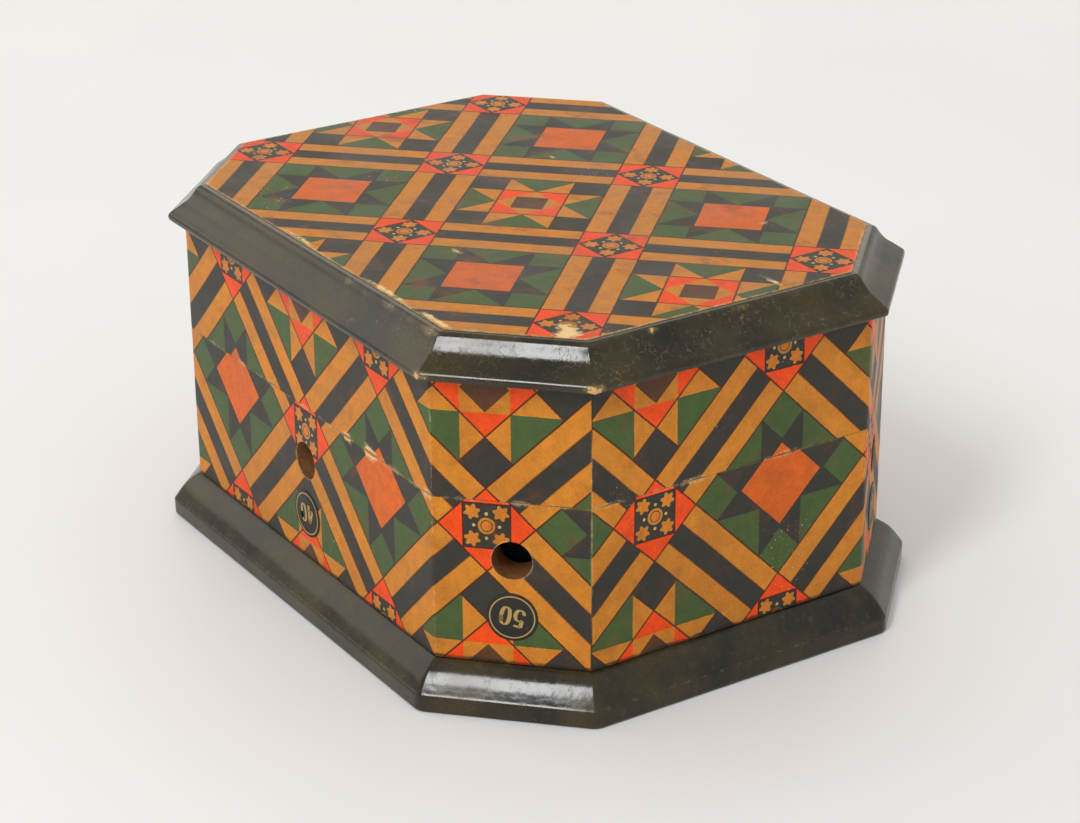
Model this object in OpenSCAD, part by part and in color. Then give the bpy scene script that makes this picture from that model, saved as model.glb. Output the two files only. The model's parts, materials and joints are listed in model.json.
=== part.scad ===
// Papered octagonal box for sewing thread: a moulded plinth board, eight mitred wall boards sawn
// apart into a base and a lid, a moulded top board, two butt hinges, and six reels on pegs that
// each feed a numbered thread hole.
// X runs along the box, Y across it (front is -Y, the hinges are at +Y), Z up from the table.

/* [Box] */
// Length of the walls, end face to end face
box_length = 130; // [122:1:140]
// Width of the walls, front face to back face
box_width = 98.4; // [96:0.2:110]
// Length that each corner facet takes off the two sides beside it
corner_cut = 19.6; // [17:0.2:20.6]
// Thickness of the wall boards
wall_t = 6.4; // [5.4:0.2:6.8]
// Height of the base walls above the plinth
base_wall_h = 31; // [28:0.5:36]
// Height of the lid walls below the top board
lid_wall_h = 22.3; // [21:0.1:30]
// Sawn gap between the base and the lid
seam_gap = 0.1; // [0.1:0.05:0.3]
// Thickness of the printed and lining papers
paper_t = 0.2; // [0.1:0.05:0.3]

/* [Mouldings] */
// Thickness of the plinth board
plinth_h = 8.6; // [8.2:0.2:12]
// How far the plinth stands out from the walls
plinth_out = 5.3; // [5:0.1:6]
// Thickness of the top board
top_h = 7; // [7:0.2:9]
// How far the top board stands out from the walls
top_out = 3.1; // [2.9:0.1:3.6]
// How far the edge of the top paper lies inside the walls
top_paper_inset = 3.9; // [3.4:0.1:4.4]

/* [Thread holes and labels] */
// Diameter of the six thread holes
hole_d = 7.2; // [6:0.2:8]
// Height of the hole centres above the plinth
hole_z = 20; // [18:0.5:22]
// Diameter of the round number labels
label_d = 9.2; // [8:0.2:10]
// Distance from a hole's centre down to its label's centre
label_drop = 10.8; // [9.6:0.2:12]
// Thickness of a label
label_t = 0.15; // [0.1:0.05:0.2]

/* [Reels and pegs] */
// Distance between neighbouring pegs along the box
peg_pitch = 38; // [36:0.5:38]
// Distance between the two rows of pegs
row_pitch = 42; // [38:0.5:42]
// Diameter of a peg
peg_d = 6.8; // [5:0.2:7.6]
// Radial clearance between a peg and a reel's bore
peg_clearance = 0.05; // [0.02:0.01:0.1]
// How deep a peg sits in the plinth board
peg_seat = 4.5; // [3:0.5:6]
// How far a peg stands above its reel
peg_above = 4.4; // [2:0.2:6]
// Height of a reel
reel_h = 38; // [32:1:40]
// Diameter of a reel's two flanges
reel_d = 30; // [26:1:31]
// Diameter of a reel's core
reel_core_d = 14; // [12:0.5:18]
// Diameter of the wound thread at its middle
thread_d = 27; // [22:0.5:27.5]

/* [Hinges] */
// Distance from the middle of the box to the middle of each hinge
hinge_x = 29; // [24:1:31]
// Length of a hinge
hinge_length = 20; // [16:1:24]
// How far a leaf reaches into the wall's edge
leaf_reach = 5; // [4.4:0.1:5.2]
// Thickness of a leaf
leaf_t = 0.8; // [0.6:0.1:1]
// Diameter of the hinge barrel
barrel_d = 3.2; // [2.8:0.2:3.6]
// Diameter of the hinge pin
pin_d = 1.4; // [1:0.1:1.6]
// Radial clearance between the pin and the knuckles
pin_clearance = 0.04; // [0.02:0.01:0.08]
// Gap between neighbouring knuckles
knuckle_gap = 0.2; // [0.1:0.05:0.3]

/* [Hidden] */
SIDES = ["front_right_corner", "right_end", "back_right_corner", "back_wall",
         "back_left_corner", "left_end", "front_left_corner", "front_wall"];
STATIONS = ["front_left", "front_middle", "front_right", "back_left", "back_middle", "back_right"];

// Heights, from the table up
seam_z = plinth_h + base_wall_h;
lid_z = seam_z + seam_gap;
board_z = lid_z + lid_wall_h;
top_z = board_z + top_h;
reel_z = plinth_h + paper_t + 0.3;
axis_z = seam_z + seam_gap / 2;

// The hinge barrel stands just clear of the paper on the back wall
axis_y = box_width / 2 + paper_t + 0.1 + barrel_d / 2;
knuckle_l = hinge_length / 3;
leaf_from_axis = axis_y - box_width / 2 + leaf_reach;
screw_x = hinge_length / 3;
screw_y = box_width / 2 - leaf_reach / 2 - 0.6;
screw_d = 1.2;
screw_head_d = 2.2;
screw_l = 4.5;

// Colours
LACQUER = [0.13, 0.12, 0.08];
WOOD = [0.76, 0.58, 0.36];
PAPER = [0.80, 0.50, 0.19];
LINING = [0.82, 0.77, 0.66];
INK = [0.15, 0.15, 0.15];
BRASS = [0.72, 0.56, 0.28];
THREADS = [[0.85, 0.82, 0.74], [0.62, 0.13, 0.11], [0.12, 0.13, 0.16],
           [0.17, 0.28, 0.45], [0.80, 0.77, 0.68], [0.20, 0.36, 0.20]];

// Facets of a full circle
ROUND = 96;

// ---------- Outlines ----------

// Corners of the octagon whose sides lie "out" millimetres outside the wall faces.
// Side i runs from corner i to corner i + 1, in the order of SIDES.
function octagon(out) =
    let (x = box_length / 2 + out,
         y = box_width / 2 + out,
         c = corner_cut + out * (2 - sqrt(2)))
    [[x - c, -y], [x, c - y], [x, y - c], [x - c, y],
     [c - x, y], [-x, y - c], [-x, c - y], [c - x, -y]];

// Plan of the mitred board, or strip of paper, on side i between two offsets
function side_plan(i, inner, outer) =
    let (a = octagon(inner), b = octagon(outer), j = (i + 1) % 8)
    [a[i], b[i], b[j], a[j]];

// Plan of a strip that wraps "count" sides, starting at corner "first"
function wrap_plan(first, count, inner, outer) =
    let (a = octagon(inner), b = octagon(outer))
    concat([for (k = [0:count]) b[(first + k) % 8]],
           [for (k = [count:-1:0]) a[(first + k) % 8]]);

// Points of an arc from p to q that bulges by "rise" to the left of the way from p to q
function bulge(p, q, rise, steps) =
    let (chord = norm(q - p),
         radius = (chord * chord / 4 + rise * rise) / (2 * rise),
         along = (q - p) / chord,
         left = [-along[1], along[0]],
         centre = (p + q) / 2 + left * (rise - radius),
         half = asin(chord / 2 / radius))
    [for (k = [0:steps])
        let (t = -half + 2 * half * k / steps)
        centre + radius * (sin(t) * along + cos(t) * left)];

// Edge profiles as [distance out from the wall face, height], from the bottom up
plinth_profile = concat(
    [[plinth_out - 0.5, 0], [plinth_out, 0.5]],
    [[plinth_out, plinth_h - 6], [plinth_out - 0.3, plinth_h - 5.4]],
    bulge([plinth_out - 0.3, plinth_h - 5.2], [0.9, plinth_h - 0.5], -0.9, 8),
    [[-0.5, plinth_h]]);
top_profile = concat(
    bulge([top_out - 0.7, 0], [top_out, 0.7], -0.15, 3),
    bulge([top_out, 1.3], [1, 2.9], -0.4, 5),
    bulge([0.8, 3.0], [-2.2, 6.1], 0.55, 7),
    bulge([-2.3, 6.2], [-top_paper_inset + 0.1, top_h - paper_t], -0.25, 4));

// A slab between two opposite sides whose long edges have the given profile
module moulded_slab(profile, half_width, length) {
    mirrored = [for (k = [len(profile) - 1:-1:0]) [-half_width - profile[k][0], profile[k][1]]];
    rotate([90, 0, 0])
        linear_extrude(height = length, center = true)
            polygon(concat([for (p = profile) [half_width + p[0], p[1]]], mirrored));
}

// An octagonal board with the profile along all eight sides, mitred at the corners
module moulded_board(profile) {
    facet = (box_length / 2 + box_width / 2 - corner_cut) / sqrt(2);
    span = 2 * box_length;
    intersection() {
        moulded_slab(profile, box_length / 2, span);
        rotate([0, 0, 90]) moulded_slab(profile, box_width / 2, span);
        rotate([0, 0, 45]) moulded_slab(profile, facet, span);
        rotate([0, 0, -45]) moulded_slab(profile, facet, span);
    }
}

// ---------- Places ----------

// Middle of side i on the wall face, and the direction that the side faces
function side_middle(i) = let (o = octagon(0)) (o[i] + o[(i + 1) % 8]) / 2;
function side_angle(i) = i * 45 - 45;

// The side that each station's thread hole is in: four corner facets and the two long walls
HOLE_SIDES = [6, 7, 0, 4, 3, 2];

// Plan position of a station's peg
function peg_place(k) =
    [(k % 3 - 1) * peg_pitch, (k < 3 ? -0.5 : 0.5) * row_pitch];

// Puts children on side i, "up" above the plinth, with +X pointing out of the wall
module on_side(i, up) {
    middle = side_middle(i);
    translate([middle[0], middle[1], plinth_h + up])
        rotate([0, 0, side_angle(i)])
            children();
}

// The drill that makes a thread hole
module hole_drill(i, d) {
    on_side(i, hole_z)
        rotate([0, 90, 0])
            cylinder(h = 4 * wall_t, d = d, center = true, $fn = ROUND);
}

// The papers are torn back a little round the drilled holes
module paper_holes() {
    for (i = HOLE_SIDES) hole_drill(i, hole_d + 0.6);
}

// ---------- Wooden boards ----------

module base_board() {
    color(LACQUER)
        difference() {
            moulded_board(plinth_profile);
            for (k = [0:5])
                translate([peg_place(k)[0], peg_place(k)[1], plinth_h - peg_seat])
                    cylinder(h = peg_seat + 1, d = peg_d + 2 * peg_clearance, $fn = ROUND);
        }
}

module lid_board() {
    color(LACQUER)
        translate([0, 0, board_z])
            moulded_board(top_profile);
}

module base_wall(i) {
    holed = len(search(i, HOLE_SIDES)) > 0;
    color(WOOD)
        difference() {
            translate([0, 0, plinth_h])
                linear_extrude(height = base_wall_h)
                    polygon(side_plan(i, -wall_t, 0));
            if (holed) hole_drill(i, hole_d);
            if (SIDES[i] == "back_wall") hinge_rebates(seam_z - leaf_t, -1);
        }
}

module lid_wall(i) {
    color(WOOD)
        difference() {
            translate([0, 0, lid_z])
                linear_extrude(height = lid_wall_h)
                    polygon(side_plan(i, -wall_t, 0));
            if (SIDES[i] == "back_wall") hinge_rebates(lid_z, 1);
        }
}

// Shallow rebates for the two leaves in one edge of the back wall, with their screw holes.
// way is -1 for the base's edge and 1 for the lid's.
module hinge_rebates(z, way) {
    for (side = [-1, 1]) {
        translate([side * hinge_x - hinge_length / 2, box_width / 2 - leaf_reach, z])
            cube([hinge_length, leaf_reach + 1, leaf_t]);
        for (end = [-1, 1])
            translate([side * hinge_x + end * screw_x, screw_y,
                       z + leaf_t / 2 + way * screw_l / 2])
                cylinder(h = screw_l, d = screw_d + 0.06, center = true, $fn = ROUND);
    }
}

// ---------- Papers ----------

// A printed wrap on the outside of the walls: four sides, starting at corner "first"
module outside_wrap(first, z, h) {
    color(PAPER)
        difference() {
            translate([0, 0, z])
                linear_extrude(height = h)
                    polygon(wrap_plan(first, 4, 0, paper_t));
            paper_holes();
            barrel_notches();
        }
}

// Room in the printed wraps for the hinge leaves, which cross the seam to the barrel
module barrel_notches() {
    for (side = [-1, 1])
        translate([side * hinge_x - hinge_length / 2, box_width / 2 - 1, axis_z - leaf_t - 0.05])
            cube([hinge_length, 2, 2 * leaf_t + 0.1]);
}

// A plain paper on the inside of the walls
module wall_lining(z, h) {
    color(LINING)
        difference() {
            translate([0, 0, z])
                linear_extrude(height = h)
                    difference() {
                        polygon(octagon(-wall_t));
                        polygon(octagon(-wall_t - paper_t));
                    }
            paper_holes();
        }
}

module base_front_paper() outside_wrap(5, plinth_h, base_wall_h);
module base_back_paper() outside_wrap(1, plinth_h, base_wall_h);
module lid_front_paper() outside_wrap(5, lid_z, lid_wall_h);
module lid_back_paper() outside_wrap(1, lid_z, lid_wall_h);
module base_wall_lining() wall_lining(plinth_h + paper_t, base_wall_h - 1 - paper_t);
module lid_wall_lining() wall_lining(lid_z + 1, lid_wall_h - 1 - paper_t);

module base_floor_lining() {
    color(LINING)
        difference() {
            translate([0, 0, plinth_h])
                linear_extrude(height = paper_t)
                    polygon(octagon(-wall_t));
            for (k = [0:5])
                translate([peg_place(k)[0], peg_place(k)[1], plinth_h - 1])
                    cylinder(h = 2, d = peg_d + 0.4, $fn = ROUND);
        }
}

module lid_ceiling_lining() {
    color(LINING)
        translate([0, 0, board_z - paper_t])
            linear_extrude(height = paper_t)
                polygon(octagon(-wall_t));
}

module lid_top_paper() {
    color(PAPER)
        translate([0, 0, top_z - paper_t])
            linear_extrude(height = paper_t)
                polygon(octagon(-top_paper_inset));
}

module label(k) {
    color(INK)
        on_side(HOLE_SIDES[k], hole_z - label_drop)
            translate([paper_t, 0, 0])
                rotate([0, 90, 0])
                    cylinder(h = label_t, d = label_d, $fn = ROUND);
}

// ---------- Pegs, reels and thread ----------

// A turned peg with a domed tip
module peg(k) {
    r = peg_d / 2;
    tip_z = reel_z + reel_h + peg_above;
    foot_z = plinth_h - peg_seat;
    color(WOOD)
        translate([peg_place(k)[0], peg_place(k)[1], 0])
            rotate_extrude($fn = ROUND)
                polygon(concat(
                    [[0, foot_z], [r - 0.4, foot_z], [r, foot_z + 0.4]],
                    [for (t = [0:15:75]) [r * cos(t), tip_z - r + r * sin(t)]],
                    [[0, tip_z]]));
}

// A turned reel: two flanges with sloping inner faces, and a core drilled for the peg
module reel(k) {
    rim = 1.6;
    slope = 3.4;
    r = reel_d / 2;
    core = reel_core_d / 2;
    bore = peg_d / 2 + peg_clearance;
    lower = [[bore, 0.6], [bore + 0.6, 0], [r - 0.5, 0], [r, 0.5], [r, rim], [core, slope]];
    upper = [for (n = [len(lower) - 1:-1:0]) [lower[n][0], reel_h - lower[n][1]]];
    color([0.83, 0.69, 0.47])
        translate([peg_place(k)[0], peg_place(k)[1], reel_z])
            rotate_extrude($fn = ROUND)
                polygon(concat(lower, upper));
}

// The wound thread: a hollow barrel that fills the reel between its flanges
module thread(k) {
    inner = reel_core_d / 2 + 0.05;
    outer = thread_d / 2;
    low = 3.6;
    shoulder = 2.7;
    color(THREADS[k])
        translate([peg_place(k)[0], peg_place(k)[1], reel_z])
            rotate_extrude($fn = ROUND)
                polygon([[inner, low], [outer - 0.6, shoulder], [outer, reel_h * 0.3],
                         [outer, reel_h * 0.7], [outer - 0.6, reel_h - shoulder],
                         [inner, reel_h - low]]);
}

// ---------- Hinges ----------

// The stretch of barrel from x = from to x = to, grown by "grow"
module barrel(from, to, grow) {
    translate([from, axis_y, axis_z])
        rotate([0, 90, 0])
            cylinder(h = to - from, d = barrel_d + 2 * grow, $fn = ROUND);
}

// A flat leaf with its knuckles, on one side of the seam. The base's leaf has the two outer
// knuckles and the lid's the middle one.
module leaf(side, z, knuckles, gaps, way) {
    centre = side * hinge_x;
    start = centre - hinge_length / 2;
    color(BRASS)
        difference() {
            union() {
                translate([start, axis_y - leaf_from_axis, z])
                    cube([hinge_length, leaf_from_axis, leaf_t]);
                for (n = knuckles)
                    barrel(start + n * knuckle_l + (n > 0 ? knuckle_gap / 2 : 0),
                           start + (n + 1) * knuckle_l - (n < 2 ? knuckle_gap / 2 : 0), 0);
            }
            for (n = gaps)
                barrel(start + n * knuckle_l - (n > 0 ? knuckle_gap / 2 : 1),
                       start + (n + 1) * knuckle_l + (n < 2 ? knuckle_gap / 2 : 1), 0.15);
            translate([start - 1, axis_y, axis_z])
                rotate([0, 90, 0])
                    cylinder(h = hinge_length + 2, d = pin_d + 2 * pin_clearance, $fn = ROUND);
            for (end = [-1, 1])
                screw(centre + end * screw_x, way, 0.03);
        }
}

module hinge_pin(side) {
    color(BRASS)
        translate([side * hinge_x - hinge_length / 2, axis_y, axis_z])
            rotate([0, 90, 0])
                cylinder(h = hinge_length, d = pin_d, $fn = ROUND);
}

// A countersunk screw through a leaf, grown by "grow" to make its hole.
// way is -1 for one driven down into the base and 1 for one driven up into the lid.
module screw(x, way, grow) {
    face_z = way < 0 ? seam_z : lid_z;
    shank = screw_d / 2 + grow;
    head = screw_head_d / 2 + grow;
    translate([x, screw_y, face_z])
        mirror([0, 0, way < 0 ? 1 : 0])
            rotate_extrude($fn = ROUND)
                polygon([[0, 0], [head, 0], [shank, 0.5], [shank, screw_l], [0, screw_l]]);
}

module hinge_screws(way) {
    color(BRASS)
        for (side = [-1, 1], end = [-1, 1])
            screw(side * hinge_x + end * screw_x, way, 0);
}

module base_leaf(side) leaf(side, seam_z - leaf_t, [0, 2], [1], -1);
module lid_leaf(side) leaf(side, lid_z, [1], [0, 2], 1);

// ---------- Nodes ----------

for (i = [0:7]) {
    base_wall(i);
    lid_wall(i);
}

for (k = [0:5]) {
    label(k);
    peg(k);
    reel(k);
    thread(k);
}

base_board();
base_front_paper();
base_back_paper();
base_wall_lining();
base_floor_lining();
base_leaf(-1);  // left_hinge_base_leaf
base_leaf(1);  // right_hinge_base_leaf
hinge_pin(-1);  // left_hinge_pin
hinge_pin(1);  // right_hinge_pin
hinge_screws(-1);  // base_hinge_screws
lid_board();
lid_top_paper();
lid_front_paper();
lid_back_paper();
lid_wall_lining();
lid_ceiling_lining();
lid_leaf(-1);  // left_hinge_lid_leaf
lid_leaf(1);  // right_hinge_lid_leaf
hinge_screws(1);  // lid_hinge_screws
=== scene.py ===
"""Looks of the papered octagonal thread box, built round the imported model.

Shapes are worked out in millimetres and scaled once, when a mesh is made. Places along the walls are
given as a distance s from a corner of the octagon, going anticlockwise seen from above.
"""
import json
import math

import bmesh
import bpy
import numpy as np
from mathutils import Matrix, Vector, noise
from mathutils.geometry import delaunay_2d_cdt


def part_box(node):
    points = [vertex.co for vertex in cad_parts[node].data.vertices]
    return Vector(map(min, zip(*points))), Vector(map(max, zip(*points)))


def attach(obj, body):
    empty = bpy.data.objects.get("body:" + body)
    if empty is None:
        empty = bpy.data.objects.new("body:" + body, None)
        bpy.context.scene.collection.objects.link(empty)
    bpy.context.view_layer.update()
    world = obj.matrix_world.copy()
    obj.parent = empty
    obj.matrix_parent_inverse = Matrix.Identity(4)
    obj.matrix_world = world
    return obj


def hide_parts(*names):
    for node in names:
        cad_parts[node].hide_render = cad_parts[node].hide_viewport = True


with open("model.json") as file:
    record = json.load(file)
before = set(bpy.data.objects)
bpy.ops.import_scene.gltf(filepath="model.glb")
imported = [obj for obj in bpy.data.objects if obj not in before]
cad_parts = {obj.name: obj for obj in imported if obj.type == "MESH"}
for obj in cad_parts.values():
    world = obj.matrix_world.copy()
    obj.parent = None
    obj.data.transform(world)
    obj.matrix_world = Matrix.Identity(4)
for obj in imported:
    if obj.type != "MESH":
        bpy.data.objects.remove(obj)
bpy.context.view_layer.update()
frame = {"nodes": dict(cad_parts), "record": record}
NODES = frame["nodes"]
MM = 0.001


# ---------- Sizes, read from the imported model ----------

def box_mm(node):
    """Lowest and highest corners of a CAD node, in millimetres."""
    low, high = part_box(node)
    return low / MM, high / MM


HALF_X = box_mm("base_right_end")[1].x
HALF_Y = -box_mm("base_front_wall")[0].y
CUT = HALF_X - box_mm("base_front_wall")[1].x
PLINTH_TOP = box_mm("base_front_wall")[0].z
SEAM_LOW = box_mm("base_front_wall")[1].z
SEAM_HIGH = box_mm("lid_front_wall")[0].z
BOARD_Z = box_mm("lid_board")[0].z
TOP_Z = box_mm("lid_top_paper")[1].z
PAPER_T = TOP_Z - box_mm("lid_top_paper")[0].z
PLINTH_OUT = box_mm("base_board")[1].x - HALF_X
TOP_OUT = box_mm("lid_board")[1].x - HALF_X
TOP_INSET = HALF_X - box_mm("lid_top_paper")[1].x

# The six places where a reel stands behind a numbered thread hole
STATIONS = ("front_left", "front_middle", "front_right", "back_left", "back_middle", "back_right")
# The side of the octagon that each one's hole is in. Side i runs from corner i to i + 1.
HOLE_SIDES = dict(zip(STATIONS, (6, 7, 0, 4, 3, 2)))
NUMBERS = dict(zip(STATIONS, ("30", "40", "50", "20", "10", "60")))
BORES = [mount for mount in frame["record"]["mounts"] if mount["kind"] == "bore"]
HOLE_Z = {bore["name"].replace("_thread_hole", ""): bore["pos_m"][2] / MM for bore in BORES}
HOLE_R = BORES[0]["dims"]["r_mm"]
PAPER_HOLE_R = HOLE_R + 0.06
LABEL_R = (box_mm("front_middle_label")[1].x - box_mm("front_middle_label")[0].x) / 2
LABEL_T = 0.15

# Where the right hinge's middle is, half its length, and how deep the papers are notched for it
LEAF_LOW, LEAF_HIGH = box_mm("right_hinge_base_leaf")
HINGE_X = (LEAF_LOW.x + LEAF_HIGH.x) / 2
HINGE_HALF = (LEAF_HIGH.x - LEAF_LOW.x) / 2
HINGE_NOTCH = 0.85

# The printed pattern is a square lattice, turned by 45 degrees, of ornaments and two kinds of tile.
# LATTICE is half the diagonal of one square. On the walls an ornament's middle is at the height NODE_Z,
# and at these distances along the front wall and the right end.
LATTICE = 27.1
NODE_Z = PLINTH_TOP + 26.25
NODE_S_FRONT_WALL = 46.1
NODE_S_RIGHT_END = 12.96
# How much of the pattern's height was lost when the lid was sawn off
KERF = 1.53

# The octagon's corners turn by 45 degrees, and the papers go round them in small arcs
CORNER_TURN = math.radians(45)
CORNER_R = 1.2
ARC_STEPS = 6


# ---------- The octagon ----------

def octagon(out):
    """Corners of the octagon whose sides lie `out` outside the wall faces, anticlockwise."""
    x = HALF_X + out
    y = HALF_Y + out
    c = CUT + out * (2 - math.sqrt(2))
    return [Vector(p) for p in (
        (x - c, -y), (x, c - y), (x, y - c), (x - c, y),
        (c - x, y), (-x, y - c), (-x, c - y), (c - x, -y))]


CORNERS = octagon(0)
SIDE_LENGTHS = [(CORNERS[(i + 1) % 8] - CORNERS[i]).length for i in range(8)]
SIDE_STEPS = [round(length / 2.2) for length in SIDE_LENGTHS]


def side_angle(i):
    """The direction that side i faces."""
    return CORNER_TURN * (i - 1)


def direction(angle):
    return Vector((math.cos(angle), math.sin(angle)))


def wrap_side(first, s):
    """The side of the octagon at the distance s from corner `first`, and the distance along it."""
    i = first
    while s > SIDE_LENGTHS[i % 8] and i < first + 3:
        s -= SIDE_LENGTHS[i % 8]
        i += 1
    return i % 8, s


def arc_centre(corner, i, radius):
    """Centre of the arc that rounds corner i."""
    return corner - direction(side_angle(i) - CORNER_TURN / 2) * radius / math.cos(CORNER_TURN / 2)


def rounded_outline(out, radius):
    """Points round the octagon with an arc at each corner. Their number doesn't depend on the size."""
    corners = octagon(out)
    tangent = radius * math.tan(CORNER_TURN / 2)
    points = []
    for i in range(8):
        here, there = corners[i], corners[(i + 1) % 8]
        centre = arc_centre(here, i, radius)
        along = (there - here).normalized()
        start, end = here + along * tangent, there - along * tangent
        for k in range(ARC_STEPS + 1):
            points.append(centre + radius * direction(side_angle(i) - CORNER_TURN * (1 - k / ARC_STEPS)))
        for k in range(1, SIDE_STEPS[i]):
            points.append(start.lerp(end, k / SIDE_STEPS[i]))
    return points


def nearness(gap, reach):
    """1 where there is no gap, falling to 0 where it is as wide as `reach`."""
    return max(0.0, 1 - gap / reach)


def wall_point(first, s, z, out):
    """Place `out` from the outside of the walls, at the distance s from corner `first`."""
    i, s = wrap_side(first, s)
    length = SIDE_LENGTHS[i]
    half_arc = CORNER_R * CORNER_TURN / 2
    tangent = CORNER_R * math.tan(CORNER_TURN / 2)
    if s < half_arc:
        angle = side_angle(i) - (half_arc - s) / CORNER_R
        flat = arc_centre(CORNERS[i], i, CORNER_R) + (CORNER_R + out) * direction(angle)
    elif s > length - half_arc:
        angle = side_angle(i) + (half_arc - length + s) / CORNER_R
        flat = arc_centre(CORNERS[(i + 1) % 8], i + 1, CORNER_R) + (CORNER_R + out) * direction(angle)
    else:
        share = (s - half_arc) / (length - 2 * half_arc)
        along = (CORNERS[(i + 1) % 8] - CORNERS[i]).normalized()
        flat = CORNERS[i] + along * (tangent + share * (length - 2 * tangent))
        flat = flat + out * direction(side_angle(i))
    return Vector((flat.x, flat.y, z))


# ---------- Mesh making ----------

def make_piece(name, body, points, faces, materials, lattice=None, face_slots=None, smooth_angle=35,
               **attributes):
    """A mesh from points in millimetres, riding on a body. `lattice` is each point's place in the
    printed pattern, and each attribute is a number for each point that its material reads."""
    mesh = bpy.data.meshes.new(name)
    mesh.from_pydata([tuple(Vector(p) * MM) for p in points], [], faces)
    for material in materials:
        mesh.materials.append(material)
    if face_slots:
        mesh.polygons.foreach_set("material_index", face_slots)
    for attribute, values in attributes.items():
        mesh.attributes.new(attribute, "FLOAT", "POINT").data.foreach_set("value", values)
    if lattice is not None:
        uvs = mesh.uv_layers.new(name="lattice")
        for loop in mesh.loops:
            uvs.data[loop.index].uv = lattice[loop.vertex_index]
    mesh.update()
    mesh.validate()
    piece = bpy.data.objects.new(name, mesh)
    bpy.context.scene.collection.objects.link(piece)
    mesh.shade_smooth()
    mesh.set_sharp_from_angle(angle=math.radians(smooth_angle))
    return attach(piece, body)


def loft(rings):
    """Quads between rings that each have the same number of points."""
    count = len(rings[0])
    points = [p for ring in rings for p in ring]
    faces = []
    for k in range(len(rings) - 1):
        for j in range(count):
            after = (j + 1) % count
            faces.append((k * count + j, k * count + after,
                          (k + 1) * count + after, (k + 1) * count + j))
    return points, faces


def smooth_path(points, steps):
    """A Catmull-Rom curve through the points, with `steps` steps between each two."""
    knots = np.array([points[0], *points, points[-1]], float)
    path = []
    for k in range(1, len(knots) - 2):
        before, a, b, after = knots[k - 1:k + 3]
        for t in np.arange(steps) / steps:
            path.append(0.5 * (2 * a + (b - before) * t + (2 * before - 5 * a + 4 * b - after) * t ** 2
                               + (3 * a - before - 3 * b + after) * t ** 3))
    path.append(knots[-2])
    return [point.tolist() for point in path]


def circle(centre, radius, steps, uneven=0.0):
    """Points round a circle, anticlockwise. `uneven` roughens it a little."""
    points = []
    for k in range(steps):
        angle = 2 * math.pi * k / steps
        r = radius + uneven * noise.noise(Vector((centre[0] + math.cos(angle), centre[1], math.sin(angle))))
        points.append(Vector(centre) + r * direction(angle))
    return points


def flat_sheet(outline, holes, inner):
    """Triangles of a flat sheet with holes, through the inner points too."""
    points = list(outline)
    edges = [(k, (k + 1) % len(outline)) for k in range(len(outline))]
    for hole in holes:
        start = len(points)
        points += hole
        edges += [(start + k, start + (k + 1) % len(hole)) for k in range(len(hole))]
    points += inner
    inside_outline = 1
    found, _, faces, *_ = delaunay_2d_cdt(points, edges, [], inside_outline, 1e-4)
    middles = [sum((found[v] for v in face), Vector((0, 0))) / 3 for face in faces]
    kept = [tuple(face) for face, middle in zip(faces, middles)
            if not any(encloses(hole, middle) for hole in holes)]
    return found, kept


def encloses(loop, point):
    """Whether a point lies inside a closed loop."""
    inside = False
    for a, b in zip(loop, loop[1:] + loop[:1]):
        if (a.y > point.y) != (b.y > point.y):
            crossing = a.x + (b.x - a.x) * (point.y - a.y) / (b.y - a.y)
            inside ^= point.x < crossing
    return inside


def solid_sheet(flat, triangles, place):
    """Closes a flat sheet into a thin solid. place(u, v, side) gives the point on the face, for
    side 0, or on the back, for side 1."""
    count = len(flat)
    points = [place(u, v, 0) for u, v in flat] + [place(u, v, 1) for u, v in flat]
    directed = {(f[k], f[(k + 1) % 3]) for f in triangles for k in range(3)}
    faces = list(triangles)
    faces += [tuple(count + v for v in reversed(face)) for face in triangles]
    faces += [(b, a, count + a, count + b) for a, b in sorted(directed) if (b, a) not in directed]
    return points, faces


def ripple(point, size, seed=0.0):
    """Smooth noise between about -1 and 1, with features of `size` millimetres."""
    return noise.noise(Vector(point) / size + Vector((seed, seed, seed)))


# ---------- Node graphs ----------

def math_node(operation):
    """An operator of Field that adds a Math node."""
    return lambda field, *others: field.graph.math(operation, field, *others)


class Field:
    """A number that shader nodes work out. The usual operators add Math nodes."""

    def __init__(self, graph, socket):
        self.graph = graph
        self.socket = socket

    __add__ = math_node("ADD")
    __sub__ = math_node("SUBTRACT")
    __mul__ = math_node("MULTIPLY")
    __and__ = math_node("MULTIPLY")
    __or__ = math_node("MAXIMUM")
    __abs__ = math_node("ABSOLUTE")
    __lt__ = math_node("LESS_THAN")
    __gt__ = math_node("GREATER_THAN")


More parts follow.
